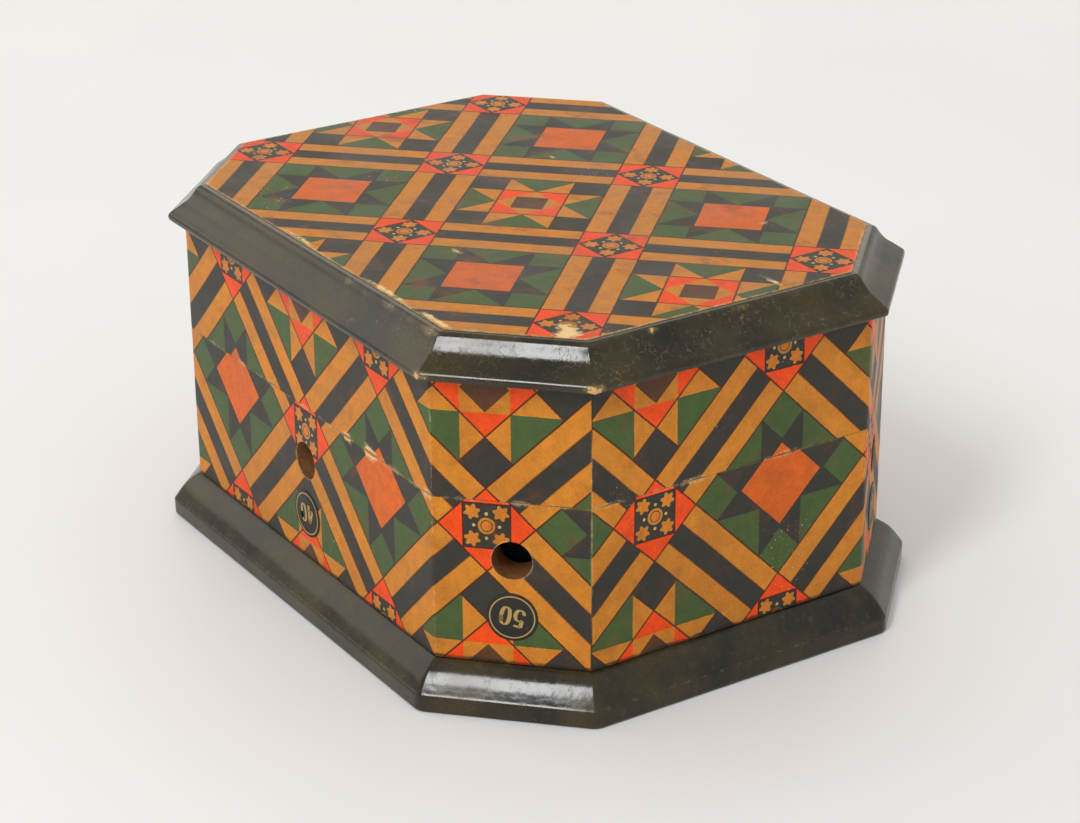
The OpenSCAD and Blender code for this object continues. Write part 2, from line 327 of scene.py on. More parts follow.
class Graph:
    """One material and the nodes that make it."""

    def __init__(self, name):
        self.material = bpy.data.materials.new(name)
        self.material.use_nodes = True
        self.tree = self.material.node_tree
        self.shader = self.tree.nodes["Principled BSDF"]
        self.place = self.node("ShaderNodeTexCoord").outputs["Object"]

    def node(self, kind, **settings):
        """A new node of a kind, with its settings."""
        node = self.tree.nodes.new(kind)
        for key, value in settings.items():
            setattr(node, key, value)
        return node

    def feed(self, socket, value):
        """Links a field or another node's socket to this one, or sets it to a constant."""
        if isinstance(value, Field):
            value = value.socket
        if isinstance(value, bpy.types.NodeSocket):
            self.tree.links.new(value, socket)
        else:
            socket.default_value = value

    def math(self, operation, *values):
        """The result of a Math node."""
        node = self.node("ShaderNodeMath", operation=operation)
        for socket, value in zip(node.inputs, values):
            self.feed(socket, value)
        return Field(self, node.outputs[0])

    def split(self, vector):
        """The x, y and z of a vector."""
        node = self.node("ShaderNodeSeparateXYZ")
        self.feed(node.inputs[0], vector)
        return [Field(self, output) for output in node.outputs]

    def paint(self, under, mask, over):
        """Lays the colour `over` on `under` where the mask is 1."""
        node = self.node("ShaderNodeMix", data_type="RGBA")
        # A Mix node keeps its sockets for colours at these places
        self.feed(node.inputs[0], mask)
        self.feed(node.inputs[6], under)
        self.feed(node.inputs[7], over)
        return node.outputs[2]

    def shade(self, tint, field):
        """Multiplies a colour by a number."""
        node = self.node("ShaderNodeVectorMath", operation="SCALE")
        self.feed(node.inputs[0], tint[:3] if isinstance(tint, tuple) else tint)
        self.feed(node.inputs["Scale"], field)
        return node.outputs[0]

    def ramp(self, field, low, high, bottom=0.0, top=1.0):
        """A soft step from `bottom` to `top` as the field goes from low to high."""
        node = self.node("ShaderNodeMapRange", interpolation_type="SMOOTHSTEP")
        for socket, value in zip(node.inputs, (field, low, high, bottom, top)):
            self.feed(socket, value)
        return Field(self, node.outputs[0])

    def stretched(self, scale, angle=0.0):
        """Object coordinates turned about Z and stretched, for grain."""
        node = self.node("ShaderNodeMapping")
        self.feed(node.inputs["Vector"], self.place)
        node.inputs["Rotation"].default_value = (0, 0, -angle)
        node.inputs["Scale"].default_value = scale
        return node.outputs[0]

    def noise(self, size, where=None, detail=2.0, roughness=0.5):
        """Noise with features of `size` millimetres."""
        node = self.node("ShaderNodeTexNoise")
        self.feed(node.inputs["Vector"], where or self.place)
        self.feed(node.inputs["Scale"], 1 / (size * MM))
        self.feed(node.inputs["Detail"], detail)
        self.feed(node.inputs["Roughness"], roughness)
        return Field(self, node.outputs["Fac"])

    def attribute(self, name):
        """A number that the mesh gives for each of its points."""
        return Field(self, self.node("ShaderNodeAttribute", attribute_name=name).outputs["Fac"])

    def bump(self, height, depth):
        """Raises the surface by up to `depth` millimetres where the height is 1."""
        node = self.node("ShaderNodeBump")
        node.inputs["Strength"].default_value = 1.0
        node.inputs["Distance"].default_value = depth * MM
        self.feed(node.inputs["Height"], height)
        self.feed(self.shader.inputs["Normal"], node.outputs[0])

    def finish(self, base, roughness, **constants):
        """Feeds the shader its colour and roughness, and sets constants such as IOR on its sockets."""
        self.feed(self.shader.inputs["Base Color"], base)
        self.feed(self.shader.inputs["Roughness"], roughness)
        for name, value in constants.items():
            self.shader.inputs[name.replace("_", " ")].default_value = value
        return self.material


def colour(red, green, blue):
    """A colour given as it looks on a screen, 0 to 255."""
    linear = []
    for value in (red, green, blue):
        c = value / 255
        linear.append(c / 12.92 if c <= 0.04045 else ((c + 0.055) / 1.055) ** 2.4)
    return (*linear, 1.0)


# ---------- The printed paper ----------

GOLD = colour(208, 130, 34)
BLACK = colour(54, 51, 45)
GREEN = colour(70, 92, 46)
RED = colour(246, 76, 0)
TERRACOTTA = colour(220, 100, 18)
BROWN = colour(92, 56, 30)
LINE = colour(72, 28, 10)
COPPER = colour(226, 120, 36)
DULL_GILT = colour(200, 176, 104)
PALE = colour(244, 218, 166)

# Half widths, as shares of LATTICE: of a striped band, of its middle stripe, and of an ornament's square
NODE = 0.319
STRIPE = NODE / 3
SQUARE = 0.160


def wrapped(field):
    """The field brought into -1 to 1, in a pattern that repeats every 2."""
    return field.graph.math("WRAP", field, 1.0, -1.0)


def drawn(offset):
    """A soft printed line where the offset is nearly zero."""
    return offset.graph.ramp(abs(offset), 0.0050, 0.0120, 0.95, 0.0)


def rosette(g, ink, x, y):
    """The gold ornament in the black square: a ring round a button, four dots and four lobed leaves."""
    away = g.math("SQRT", x * x + y * y)
    u, v = abs(x), abs(y)
    leaf_u, leaf_v = u - 0.094, v - 0.094
    leaf_away = g.math("SQRT", leaf_u * leaf_u + leaf_v * leaf_v)
    turn = g.math("ARCTAN2", leaf_v, leaf_u) - math.pi / 4
    leaf = leaf_away < (g.math("COSINE", turn * 6.0) * 0.0095 + 0.0465)
    ink = g.paint(ink, leaf & (away > 0.066), GOLD)
    ink = g.paint(ink, g.ramp(leaf_away, 0.012, 0.034, 0.7, 0.0), COPPER)
    ink = g.paint(ink, abs(away - 0.049) < 0.0085, GOLD)
    ink = g.paint(ink, away < 0.034, GOLD)
    ink = g.paint(ink, away < 0.020, COPPER)
    dot_u, dot_v = (u | v) - 0.084, g.math("MINIMUM", u, v)
    dots = g.math("SQRT", dot_u * dot_u + dot_v * dot_v) < 0.0115
    return g.paint(ink, dots, DULL_GILT)


def printed_pattern(g, p, q):
    """Colour of the printed pattern at the lattice place (p, q)."""
    across, down = p + q, p - q
    a, b = wrapped(across), wrapped(down)
    band_a, band_b = abs(a), abs(b)
    in_a, in_b = band_a < NODE, band_b < NODE
    in_node = in_a & in_b

    # Tile coordinates, measured from the middle of the tile
    tile_a, tile_b = wrapped(across - 1.0), wrapped(down - 1.0)
    x, y = (tile_a + tile_b) * 0.5, (tile_a - tile_b) * 0.5
    u, v = abs(x), abs(y)
    reach, lean = u + v, abs(u - v)
    near_axis = g.math("MINIMUM", u, v)
    first_kind = g.math("FLOORED_MODULO", p - x + 0.5, 2.0) > 1.0

    star = g.paint(BLACK, lean > 0.352, GREEN)
    star = g.paint(star, near_axis > 0.169, GREEN)
    star = g.paint(star, reach < 0.32, TERRACOTTA)

    cross = g.paint(GOLD, lean > 0.33, BLACK)
    cross = g.paint(cross, near_axis > 0.165, GREEN)
    cross = g.paint(cross, reach < 0.328, RED)
    cross = g.paint(cross, (u | v) < 0.164, GOLD)
    cross = g.paint(cross, reach < 0.16, BROWN)
    cross = g.paint(cross, drawn(abs(tile_a) - 0.33) | drawn(abs(tile_b) - 0.33), LINE)
    ink = g.paint(cross, first_kind, star)

    band = g.math("MINIMUM", band_a, band_b)
    ink = g.paint(ink, in_a | in_b, GOLD)
    ink = g.paint(ink, band < STRIPE, BLACK)
    ink = g.paint(ink, drawn(band - STRIPE) * 0.6, LINE)

    nx, ny = (a + b) * 0.5, (a - b) * 0.5
    square = abs(nx) | abs(ny)
    ink = g.paint(ink, in_node, RED)
    badge = rosette(g, BLACK, nx, ny)
    badge = g.paint(badge, square > SQUARE - 0.010, LINE)
    ink = g.paint(ink, in_node & (square < SQUARE), badge)
    return g.paint(ink, drawn(band_a - NODE) | drawn(band_b - NODE), LINE)


def printed_paper(name, lightness, browning, gloss):
    """Varnished printed paper, mottled and rubbed, that shows pale fibre where it is worn. `browning`
    is how brown its varnish has gone in patches, and `gloss` is its refractive index."""
    g = Graph(name)
    p, q, _ = g.split(g.node("ShaderNodeUVMap", uv_map="lattice").outputs[0])
    drift_p = (g.noise(9, detail=1) - 0.5) * 0.010
    drift_q = (g.noise(13, detail=1) - 0.5) * 0.010
    ragged = (g.noise(0.35, detail=1) - 0.5) * 0.006
    ink = printed_pattern(g, p + drift_p + ragged, q + drift_q + ragged)

    grain = g.noise(0.3, detail=3, roughness=0.75)
    blotch = g.noise(2.6, detail=4, roughness=0.7)
    cloud = g.noise(12, detail=4, roughness=0.6)
    tone = g.ramp(grain, 0.25, 0.75, 0.84, 1.13) * g.ramp(blotch, 0.3, 0.7, 0.90, 1.08)
    tone = tone * g.ramp(cloud, 0.3, 0.7, 0.88, 1.07) * lightness
    ink = g.shade(ink, tone)
    browned = g.ramp(g.noise(7, detail=5, roughness=0.7), 0.52, 0.74)
    ink = g.paint(ink, browned * browning, colour(124, 66, 22))

    wear = g.attribute("wear")
    crumble = g.noise(1.3, detail=5, roughness=0.78)
    bare = g.ramp(wear * crumble * 2.0, 0.58, 0.66)
    speck = g.ramp(g.noise(0.45, detail=1) * g.ramp(g.noise(19, detail=1), 0.5, 0.7), 0.70, 0.74)
    pale = g.paint(PALE, g.noise(1.6, detail=3), colour(224, 176, 112))
    rubbed = g.ramp(wear * crumble * 2.0, 0.25, 0.60)
    ink = g.paint(ink, rubbed * 0.30, PALE)
    ink = g.paint(ink, bare | (speck * 0.6), pale)
    grime = g.ramp(g.attribute("grime") + (crumble - 0.5) * 0.7, 0.30, 0.70)
    ink = g.paint(ink, grime * 0.85, colour(34, 28, 20))

    weave = g.noise(0.16, detail=2, roughness=0.8)
    g.bump(weave * 0.10 + g.noise(2.4, detail=3) * 0.45 - bare * 0.9, 0.07)
    roughness = g.ramp(cloud, 0.3, 0.7, 0.38, 0.50) + bare * 0.4
    return g.finish(ink, roughness, IOR=gloss)


# ---------- Other materials ----------

def fine_cracks(g):
    """1 along the cracks of crazed lacquer, which come in patches."""
    warp = g.node("ShaderNodeVectorMath", operation="ADD")
    shift = g.node("ShaderNodeTexNoise")
    g.feed(shift.inputs["Vector"], g.place)
    g.feed(shift.inputs["Scale"], 1 / (1.9 * MM))
    g.feed(shift.inputs["Detail"], 3.0)
    g.feed(warp.inputs[0], g.place)
    g.feed(warp.inputs[1], g.shade(shift.outputs["Color"], 1.3 * MM))
    cells = g.node("ShaderNodeTexVoronoi", feature="DISTANCE_TO_EDGE")
    g.feed(cells.inputs["Vector"], warp.outputs[0])
    g.feed(cells.inputs["Scale"], 1 / (1.4 * MM))
    crack = g.ramp(Field(g, cells.outputs["Distance"]), 0.0, 0.045, 1.0, 0.0)
    patchy = g.ramp(g.noise(5, detail=3), 0.42, 0.62) * g.ramp(g.noise(0.7, detail=1), 0.38, 0.62)
    return crack * patchy * g.attribute("crazing")


def black_lacquer():
    """Glossy olive-black lacquer over wood, crazed and dusty in places and chipped to pale wood."""
    g = Graph("black_lacquer")
    crazed = fine_cracks(g)
    cloud = g.noise(14, detail=4, roughness=0.6)
    base = g.paint(colour(13, 11, 3), g.ramp(cloud, 0.25, 0.75), colour(58, 48, 14))
    base = g.paint(base, crazed * 0.5, colour(156, 140, 106))
    dust = g.ramp(g.noise(1.5, detail=5, roughness=0.8), 0.50, 0.78)
    base = g.paint(base, dust * 0.28, colour(110, 94, 44))

    wear = g.attribute("wear")
    crumble = g.noise(1.1, detail=4, roughness=0.75)
    bare = g.ramp(wear + (crumble - 0.5) * 1.3, 0.74, 0.80)
    rubbed = g.ramp(wear + (crumble - 0.5) * 0.8, 0.40, 0.70)
    base = g.paint(base, rubbed * 0.34, colour(150, 132, 92))
    base = g.paint(base, bare, colour(208, 168, 106))

    scuffs = g.noise(0.7, g.stretched((1, 1, 0.4)), detail=3)
    dimples = g.noise(1.8, detail=2) * 0.22
    g.bump(g.noise(6, detail=3) * 0.8 + dimples + scuffs * 0.08 - crazed * 0.12 - bare * 0.8, 0.09)
    roughness = g.ramp(cloud, 0.3, 0.7, 0.12, 0.22) + dust * 0.20 + bare * 0.4
    return g.finish(base, roughness, IOR=1.5)


def wood(name, light, dark, angle=0.0, upright=False, ring=1.5, bore=None):
    """Planed or turned wood with its grain along X turned by `angle`, or along Z if upright. It is darkened
    inside and round its thread holes as painted shade: `bore` is how far they are from the middle along the
    grain, and their height."""
    g = Graph(name)
    squeeze = (1, 1, 0.06) if upright else (0.06, 1, 1)
    grain = g.noise(ring, g.stretched(squeeze, angle), detail=5, roughness=0.62)
    fibre = g.noise(0.35, g.stretched(squeeze, angle), detail=3, roughness=0.7)
    base = g.paint(light, g.ramp(grain, 0.38, 0.64), dark)
    base = g.shade(base, g.ramp(fibre, 0.2, 0.8, 0.82, 1.1))
    base = g.paint(base, g.ramp(g.noise(7, detail=4), 0.52, 0.75) * 0.35, colour(96, 64, 36))
    # Painted shade: inside and just round each thread hole the wood is darkened towards a dark brown
    if bore:
        along, _, up = g.split(g.stretched((1, 1, 1), angle))
        u, z = abs(along) - bore[0] * MM, up - bore[1] * MM
        away = g.math("SQRT", u * u + z * z)
        base = g.paint(base, (away < (HOLE_R + 0.3) * MM) * 0.7, colour(84, 38, 16))
    g.bump(fibre * 0.6 + grain * 0.4, 0.08)
    return g.finish(base, g.ramp(grain, 0.3, 0.7, 0.52, 0.68), IOR=1.45)


def lining_paper():
    """Plain cream paper, foxed with small brown spots."""
    g = Graph("lining_paper")
    base = g.paint(colour(214, 203, 174), g.noise(16, detail=4), colour(190, 174, 140))
    spots = g.ramp(g.noise(2.2, detail=3, roughness=0.6), 0.66, 0.74)
    base = g.paint(base, spots * 0.5, colour(142, 100, 56))
    fibre = g.noise(0.3, detail=4, roughness=0.75)
    base = g.shade(base, g.ramp(fibre, 0.2, 0.8, 0.93, 1.05))
    g.bump(fibre * 0.3 + g.noise(3.5, detail=2) * 0.7, 0.05)
    return g.finish(base, g.ramp(fibre, 0.2, 0.8, 0.72, 0.86), IOR=1.45)


def aged_brass():
    """Dull brass, browned in its hollows."""
    g = Graph("aged_brass")
    tarnish = g.noise(4.5, detail=4, roughness=0.55)
    base = g.paint(colour(186, 150, 84), g.ramp(tarnish, 0.40, 0.70), colour(116, 86, 46))
    g.bump(g.noise(0.5, detail=3), 0.03)
    return g.finish(base, g.ramp(tarnish, 0.3, 0.7, 0.34, 0.52), Metallic=1.0)


def label_ink(name, ink, spot):
    """Printed ink on a paper label, a little rubbed."""
    g = Graph(name)
    grain = g.noise(0.3, detail=3, roughness=0.7)
    base = g.shade(ink, g.ramp(grain, 0.2, 0.8, 0.8, 1.15))
    base = g.paint(base, g.ramp(g.noise(0.8, detail=3), 0.62, 0.74) * 0.5, spot)
    g.bump(grain * 0.5, 0.03)
    return g.finish(base, g.ramp(grain, 0.2, 0.8, 0.38, 0.5), IOR=1.38)


def wound_cotton(name, dye):
    """Glazed cotton thread: darker between the turns, with a soft sheen."""
    g = Graph(name)
    fibre = g.noise(0.22, g.stretched((1, 1, 3)), detail=3, roughness=0.7)
    base = g.shade(dye, g.ramp(fibre, 0.2, 0.8, 0.7, 1.15))
    base = g.shade(base, g.ramp(g.noise(6, detail=2), 0.3, 0.7, 0.88, 1.06))
    g.bump(fibre, 0.05)
    return g.finish(base, g.ramp(fibre, 0.2, 0.8, 0.5, 0.7), Sheen_Weight=0.3)


WALL_PAPER = printed_paper("printed_paper", 1.0, 0.36, 1.34)
TOP_PAPER = printed_paper("browned_printed_paper", 0.86, 0.62, 1.21)
LACQUER = black_lacquer()
# The corner facets' holes are this far along their grain from the middle of the box
CORNER_BORE = (HALF_X - HALF_Y) / math.sqrt(2)
# One wood for each direction of the grain. The end walls have no hole, so theirs lies outside them.
WALL_WOODS = [
    wood(f"wall_wood_{turn}", colour(204, 158, 98), colour(174, 124, 72), CORNER_TURN * turn,
         bore=(offset, HOLE_Z["front_middle"]))
    for turn, offset in enumerate((0.0, CORNER_BORE, 2 * HALF_X, CORNER_BORE))]
PEG_WOOD = wood("turned_peg_wood", colour(192, 148, 92), colour(164, 118, 70), upright=True, ring=0.8)
REEL_WOOD = wood("reel_wood", colour(222, 186, 132), colour(204, 164, 108), upright=True, ring=0.9)
LINING = lining_paper()
BRASS = aged_brass()
LABEL_BLACK = label_ink("label_black", colour(38, 36, 32), colour(78, 68, 50))
LABEL_GOLD = label_ink("label_gold", colour(178, 148, 84), colour(96, 76, 44))
DYES = {
    "front_left": ("thread_cream", colour(214, 204, 178)),
    "front_middle": ("thread_red", colour(140, 30, 26)),
    "front_right": ("thread_black", colour(30, 30, 34)),
    "back_left": ("thread_blue", colour(40, 66, 108)),
    "back_middle": ("thread_cream", colour(214, 204, 178)),
    "back_right": ("thread_green", colour(40, 86, 54)),
}


# ---------- Moulded boards ----------

def moulded_rings(profile, bottom_z, dent):
    """Rings round the box for a profile of (out, height, corner radius, wear), from the bottom up.
    `dent` is how uneven they are."""
    rings, wears = [], []
    for out, height, radius, wear in profile:
        ring = []
        for flat in rounded_outline(out, max(radius, 0.05)):
            point = Vector((flat.x, flat.y, bottom_z + height))
            outward = flat.normalized()
            push = dent * (ripple(point, 9) + 0.45 * ripple(point, 2.6, 7.0))
            point.x += outward.x * push
            point.y += outward.y * push
            ring.append(point)
            corner_gap = min((point.xy - corner).length for corner in CORNERS)
            wears.append(wear * (0.8 + 1.1 * nearness(corner_gap, 5)))
        rings.append(ring)
    return rings, wears


# How plainly the lid's lacquer is crazed on the right end and on the two facets beside it, given by
# their directions in eighths of a turn, and everywhere else
LID_CRAZING = {0: 1.0, -1: 0.6, 1: 0.5}
LID_CRAZING_ELSEWHERE = 0.12
# Knocks on its edges, as (corner, distance from it, height, how far out, reach, strength)
LID_CHIPS = (
    (1, 0.0, 0.7, TOP_OUT, 1.5, 0.8), (0, 0.0, 1.0, TOP_OUT, 1.4, 0.6), (4, 0.0, 0.8, TOP_OUT, 1.6, 0.7),
    (1, 14.0, 6.3, -2.3, 1.7, 0.6), (1, 33.0, 6.3, -2.3, 1.6, 0.45), (7, 60.0, 6.3, -2.3, 2.4, 0.5),
    (7, 74.0, 6.3, -2.3, 3.0, 0.5), (7, 87.0, 6.3, -2.3, 2.6, 0.6), (3, 40.0, 6.3, -2.3, 2.6, 0.5))


def lid_board():
    """The top board: a rounded nose, a hollow above it, and a thin raised lip round the paper."""
    edge = TOP_OUT
    top = TOP_Z - PAPER_T - BOARD_Z
    profile = smooth_path([
        (edge - 0.75, 0.02, 1.0, 0.05), (edge - 0.2, 0.16, 1.0, 0.15), (edge - 0.03, 0.6, 0.9, 0.34),
        (edge - 0.05, 1.1, 0.9, 0.34), (edge - 0.35, 1.55, 0.8, 0.30), (edge - 1.0, 2.0, 0.5, 0.12),
        (0.8, 2.95, 0.3, 0.08), (-0.4, 3.8, 0.3, 0.08), (-1.4, 4.95, 0.3, 0.10),
        (-2.15, 6.1, 0.4, 0.30), (-2.6, 6.5, 0.5, 0.38), (-3.2, top - 0.05, 0.5, 0.22),
        (-TOP_INSET - 0.4, top, 0.5, 0.1)], 4)
    rings, wears = moulded_rings(profile, BOARD_Z, 0.06)
    points, faces = loft(rings)
    count = len(rings[0])
    faces.append(tuple(reversed(range(count))))
    faces.append(tuple(range(len(points) - count, len(points))))
    for first, s, height, out, reach, strength in LID_CHIPS:
        middle = wall_point(first, s, BOARD_Z + height, out)
        for k, point in enumerate(points):
            wears[k] += strength * nearness((point - middle).length, reach)
    crazing = [LID_CRAZING.get(round(math.atan2(p.y, p.x) / CORNER_TURN), LID_CRAZING_ELSEWHERE)
               for p in points]
    piece = make_piece("lid_board_moulded", "lid", points, faces, [LACQUER], wear=wears, crazing=crazing)
    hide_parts("lid_board")


def base_board():
    """The plinth board: a sloping shoulder above a sharp edge, with sockets for the six pegs."""
    edge = PLINTH_OUT
    profile = smooth_path([
        (edge - 0.5, 0.0, 3.0, 0.1), (edge - 0.06, 0.3, 3.0, 0.25), (edge - 0.02, 1.2, 2.8, 0.12),
        (edge - 0.03, 2.9, 2.2, 0.12), (edge - 0.12, 3.3, 1.9, 0.50), (edge - 0.35, 3.62, 1.7, 0.52),
        (edge - 0.9, 4.45, 1.4, 0.12), (edge - 1.75, 5.65, 1.2, 0.08), (2.4, 6.9, 1.0, 0.10),
        (1.2, 7.8, 0.8, 0.16), (0.35, 8.3, 0.6, 0.12), (-0.3, PLINTH_TOP, 0.5, 0.05)], 4)
    rings, wears = moulded_rings(profile, 0.0, 0.06)
    points, faces = loft(rings)
    count = len(rings[0])
    faces.append(tuple(reversed(range(count))))

    sockets = []
    for station in STATIONS:
        low, high = box_mm(f"{station}_peg")
        middle = (low + high) / 2
        sockets.append((circle(middle.xy, (high.x - low.x) / 2 + 0.05, 40), low.z))
    flat, triangles = flat_sheet([p.xy for p in rings[-1]], [loop for loop, _ in sockets], [])
    start = len(points)
    points += [Vector((p.x, p.y, PLINTH_TOP)) for p in flat]
    faces += [tuple(start + v for v in face) for face in triangles]
    for loop, bottom in sockets:
        sink(points, faces, loop, PLINTH_TOP, bottom)
    wears += [0.0] * (len(points) - len(wears))
    piece = make_piece("base_board_moulded", "base", points, faces, [LACQUER], wear=wears,
                       crazing=[0.1] * len(points))
    weld(piece)
    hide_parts("base_board")


def sink(points, faces, loop, top, bottom):
    """Adds the sides and the bottom of a recess below an anticlockwise loop."""
    start = len(points)
    points += [Vector((p.x, p.y, z)) for z in (top, bottom) for p in loop]
    n = len(loop)
    faces += [(start + k, start + (k + 1) % n, start + n + (k + 1) % n, start + n + k) for k in range(n)]
    faces.append(tuple(range(start + n, start + 2 * n)))


def weld(piece):
    """Joins points that lie in the same place, so that the mesh is one closed skin."""
    mesh = bmesh.new()
    mesh.from_mesh(piece.data)
    bmesh.ops.remove_doubles(mesh, verts=mesh.verts, dist=0.002 * MM)
    mesh.to_mesh(piece.data)
    mesh.free()


# ---------- Hinge screws ----------

# The shank's radius, how deep the head and its slot are, and the slot's corners
SHANK_R = 0.6
HEAD_DEPTH = 0.5
SLOT_DEPTH = 0.3
SLOT_CORNERS = ((-0.8, -0.18), (0.8, -0.18), (0.8, 0.18), (-0.8, 0.18))


def slotted_screw(head_r, length, turn):
    """A countersunk screw that points down, with the face of its head at height 0 and a slot in it."""
    rim = circle((0, 0), head_r, 28)
    slot = [Matrix.Rotation(turn, 2) @ Vector(corner) for corner in SLOT_CORNERS]
    sections = ((SHANK_R, -length), (SHANK_R, -HEAD_DEPTH), (head_r, 0))
    points, faces = loft([[Vector((*(p * r / head_r), z)) for p in rim] for r, z in sections])
    faces.append(tuple(reversed(range(len(rim)))))
    flat, triangles = flat_sheet(rim, [slot], [])
    start = len(points)
    points += [Vector((p.x, p.y, 0)) for p in flat]
    faces += [tuple(start + v for v in face) for face in triangles]
    sink(points, faces, slot, 0, -SLOT_DEPTH)
    return points, faces


def hinge_screws(body, node, way):
    """The four screws of one node, which go down (way -1) or up (way 1)."""
    low, high = box_mm(node)
    head_r = (high.y - low.y) / 2
    head_z = high.z if way < 0 else low.z
    spread = high.x - HINGE_X - head_r
    points, faces = [], []
    for k, x in enumerate((-HINGE_X - spread, spread - HINGE_X, HINGE_X - spread, HINGE_X + spread)):
        screw, screw_faces = slotted_screw(head_r, high.z - low.z, 0.6 + 1.9 * k)
        start = len(points)
        points += [Vector((x + p.x, (low.y + high.y) / 2 + p.y, head_z - way * p.z)) for p in screw]
        # A screw that goes up is mirrored, so its faces are turned over
        faces += [tuple(start + v for v in face)[::-way] for face in screw_faces]
    piece = make_piece(f"{body}_slotted_screws", body, points, faces, [BRASS])
    weld(piece)
    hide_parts(node)


# ---------- Printed papers ----------

# The corners where the papers start: the back edge of the left end, and the front edge of the right end
FRONT_FIRST = 5
BACK_FIRST = 1
# The paper's bare back shows as worn through
BACK_WEAR = 0.9
# Rubbed stretches of the seam as (corner of the octagon, distance from it, half length, depth)
SEAM_CHIPS = (
    (7, 62.0, 2.2, 0.5), (7, 70.0, 2.8, 0.7), (7, 77.0, 6.0, 0.25), (7, 33.0, 2.0, 0.3),
    (7, 89.6, 1.6, 0.5), (0, 8.0, 2.2, 0.15), (0, 22.5, 2.6, 0.2), (0, 15.5, 2.0, 0.25),
    (1, 4.0, 2.5, 0.25), (1, 21.0, 3.0, 0.35), (1, 41.0, 4.0, 0.3), (3, 20.0, 3.0, 0.5),
    (5, 30.0, 4.0, 0.4), (3, 66.0, 2.5, 0.4))


def seam_loss(first, s):
    """How much of the paper is missing at the sawn edge."""
    side, local = wrap_side(first, s)
    loss = 0.10 * max(0.0, ripple((s, 0, 0), 1.4, 3.0) - 0.1)
    for corner, place, half, depth in SEAM_CHIPS:
        if corner == side and abs(local - place) < half:
            shape = 1 - ((local - place) / half) ** 2
            loss += depth * shape * (0.55 + 0.6 * ripple((s, 0, 0), 0.7, 5.0))
    return max(loss, 0.0)


def in_hinge_notch(first, s):
    """Whether a hinge crosses the seam at s."""
    side, local = wrap_side(first, s)
    x = HALF_X - CUT - local
    return side == 3 and abs(abs(x) - HINGE_X) < HINGE_HALF


def steps_between(low, high, spacing):
    """Even steps from low to high, about `spacing` apart."""
    count = max(1, round((high - low) / spacing))
    return [low + (high - low) * k / count for k in range(count + 1)]


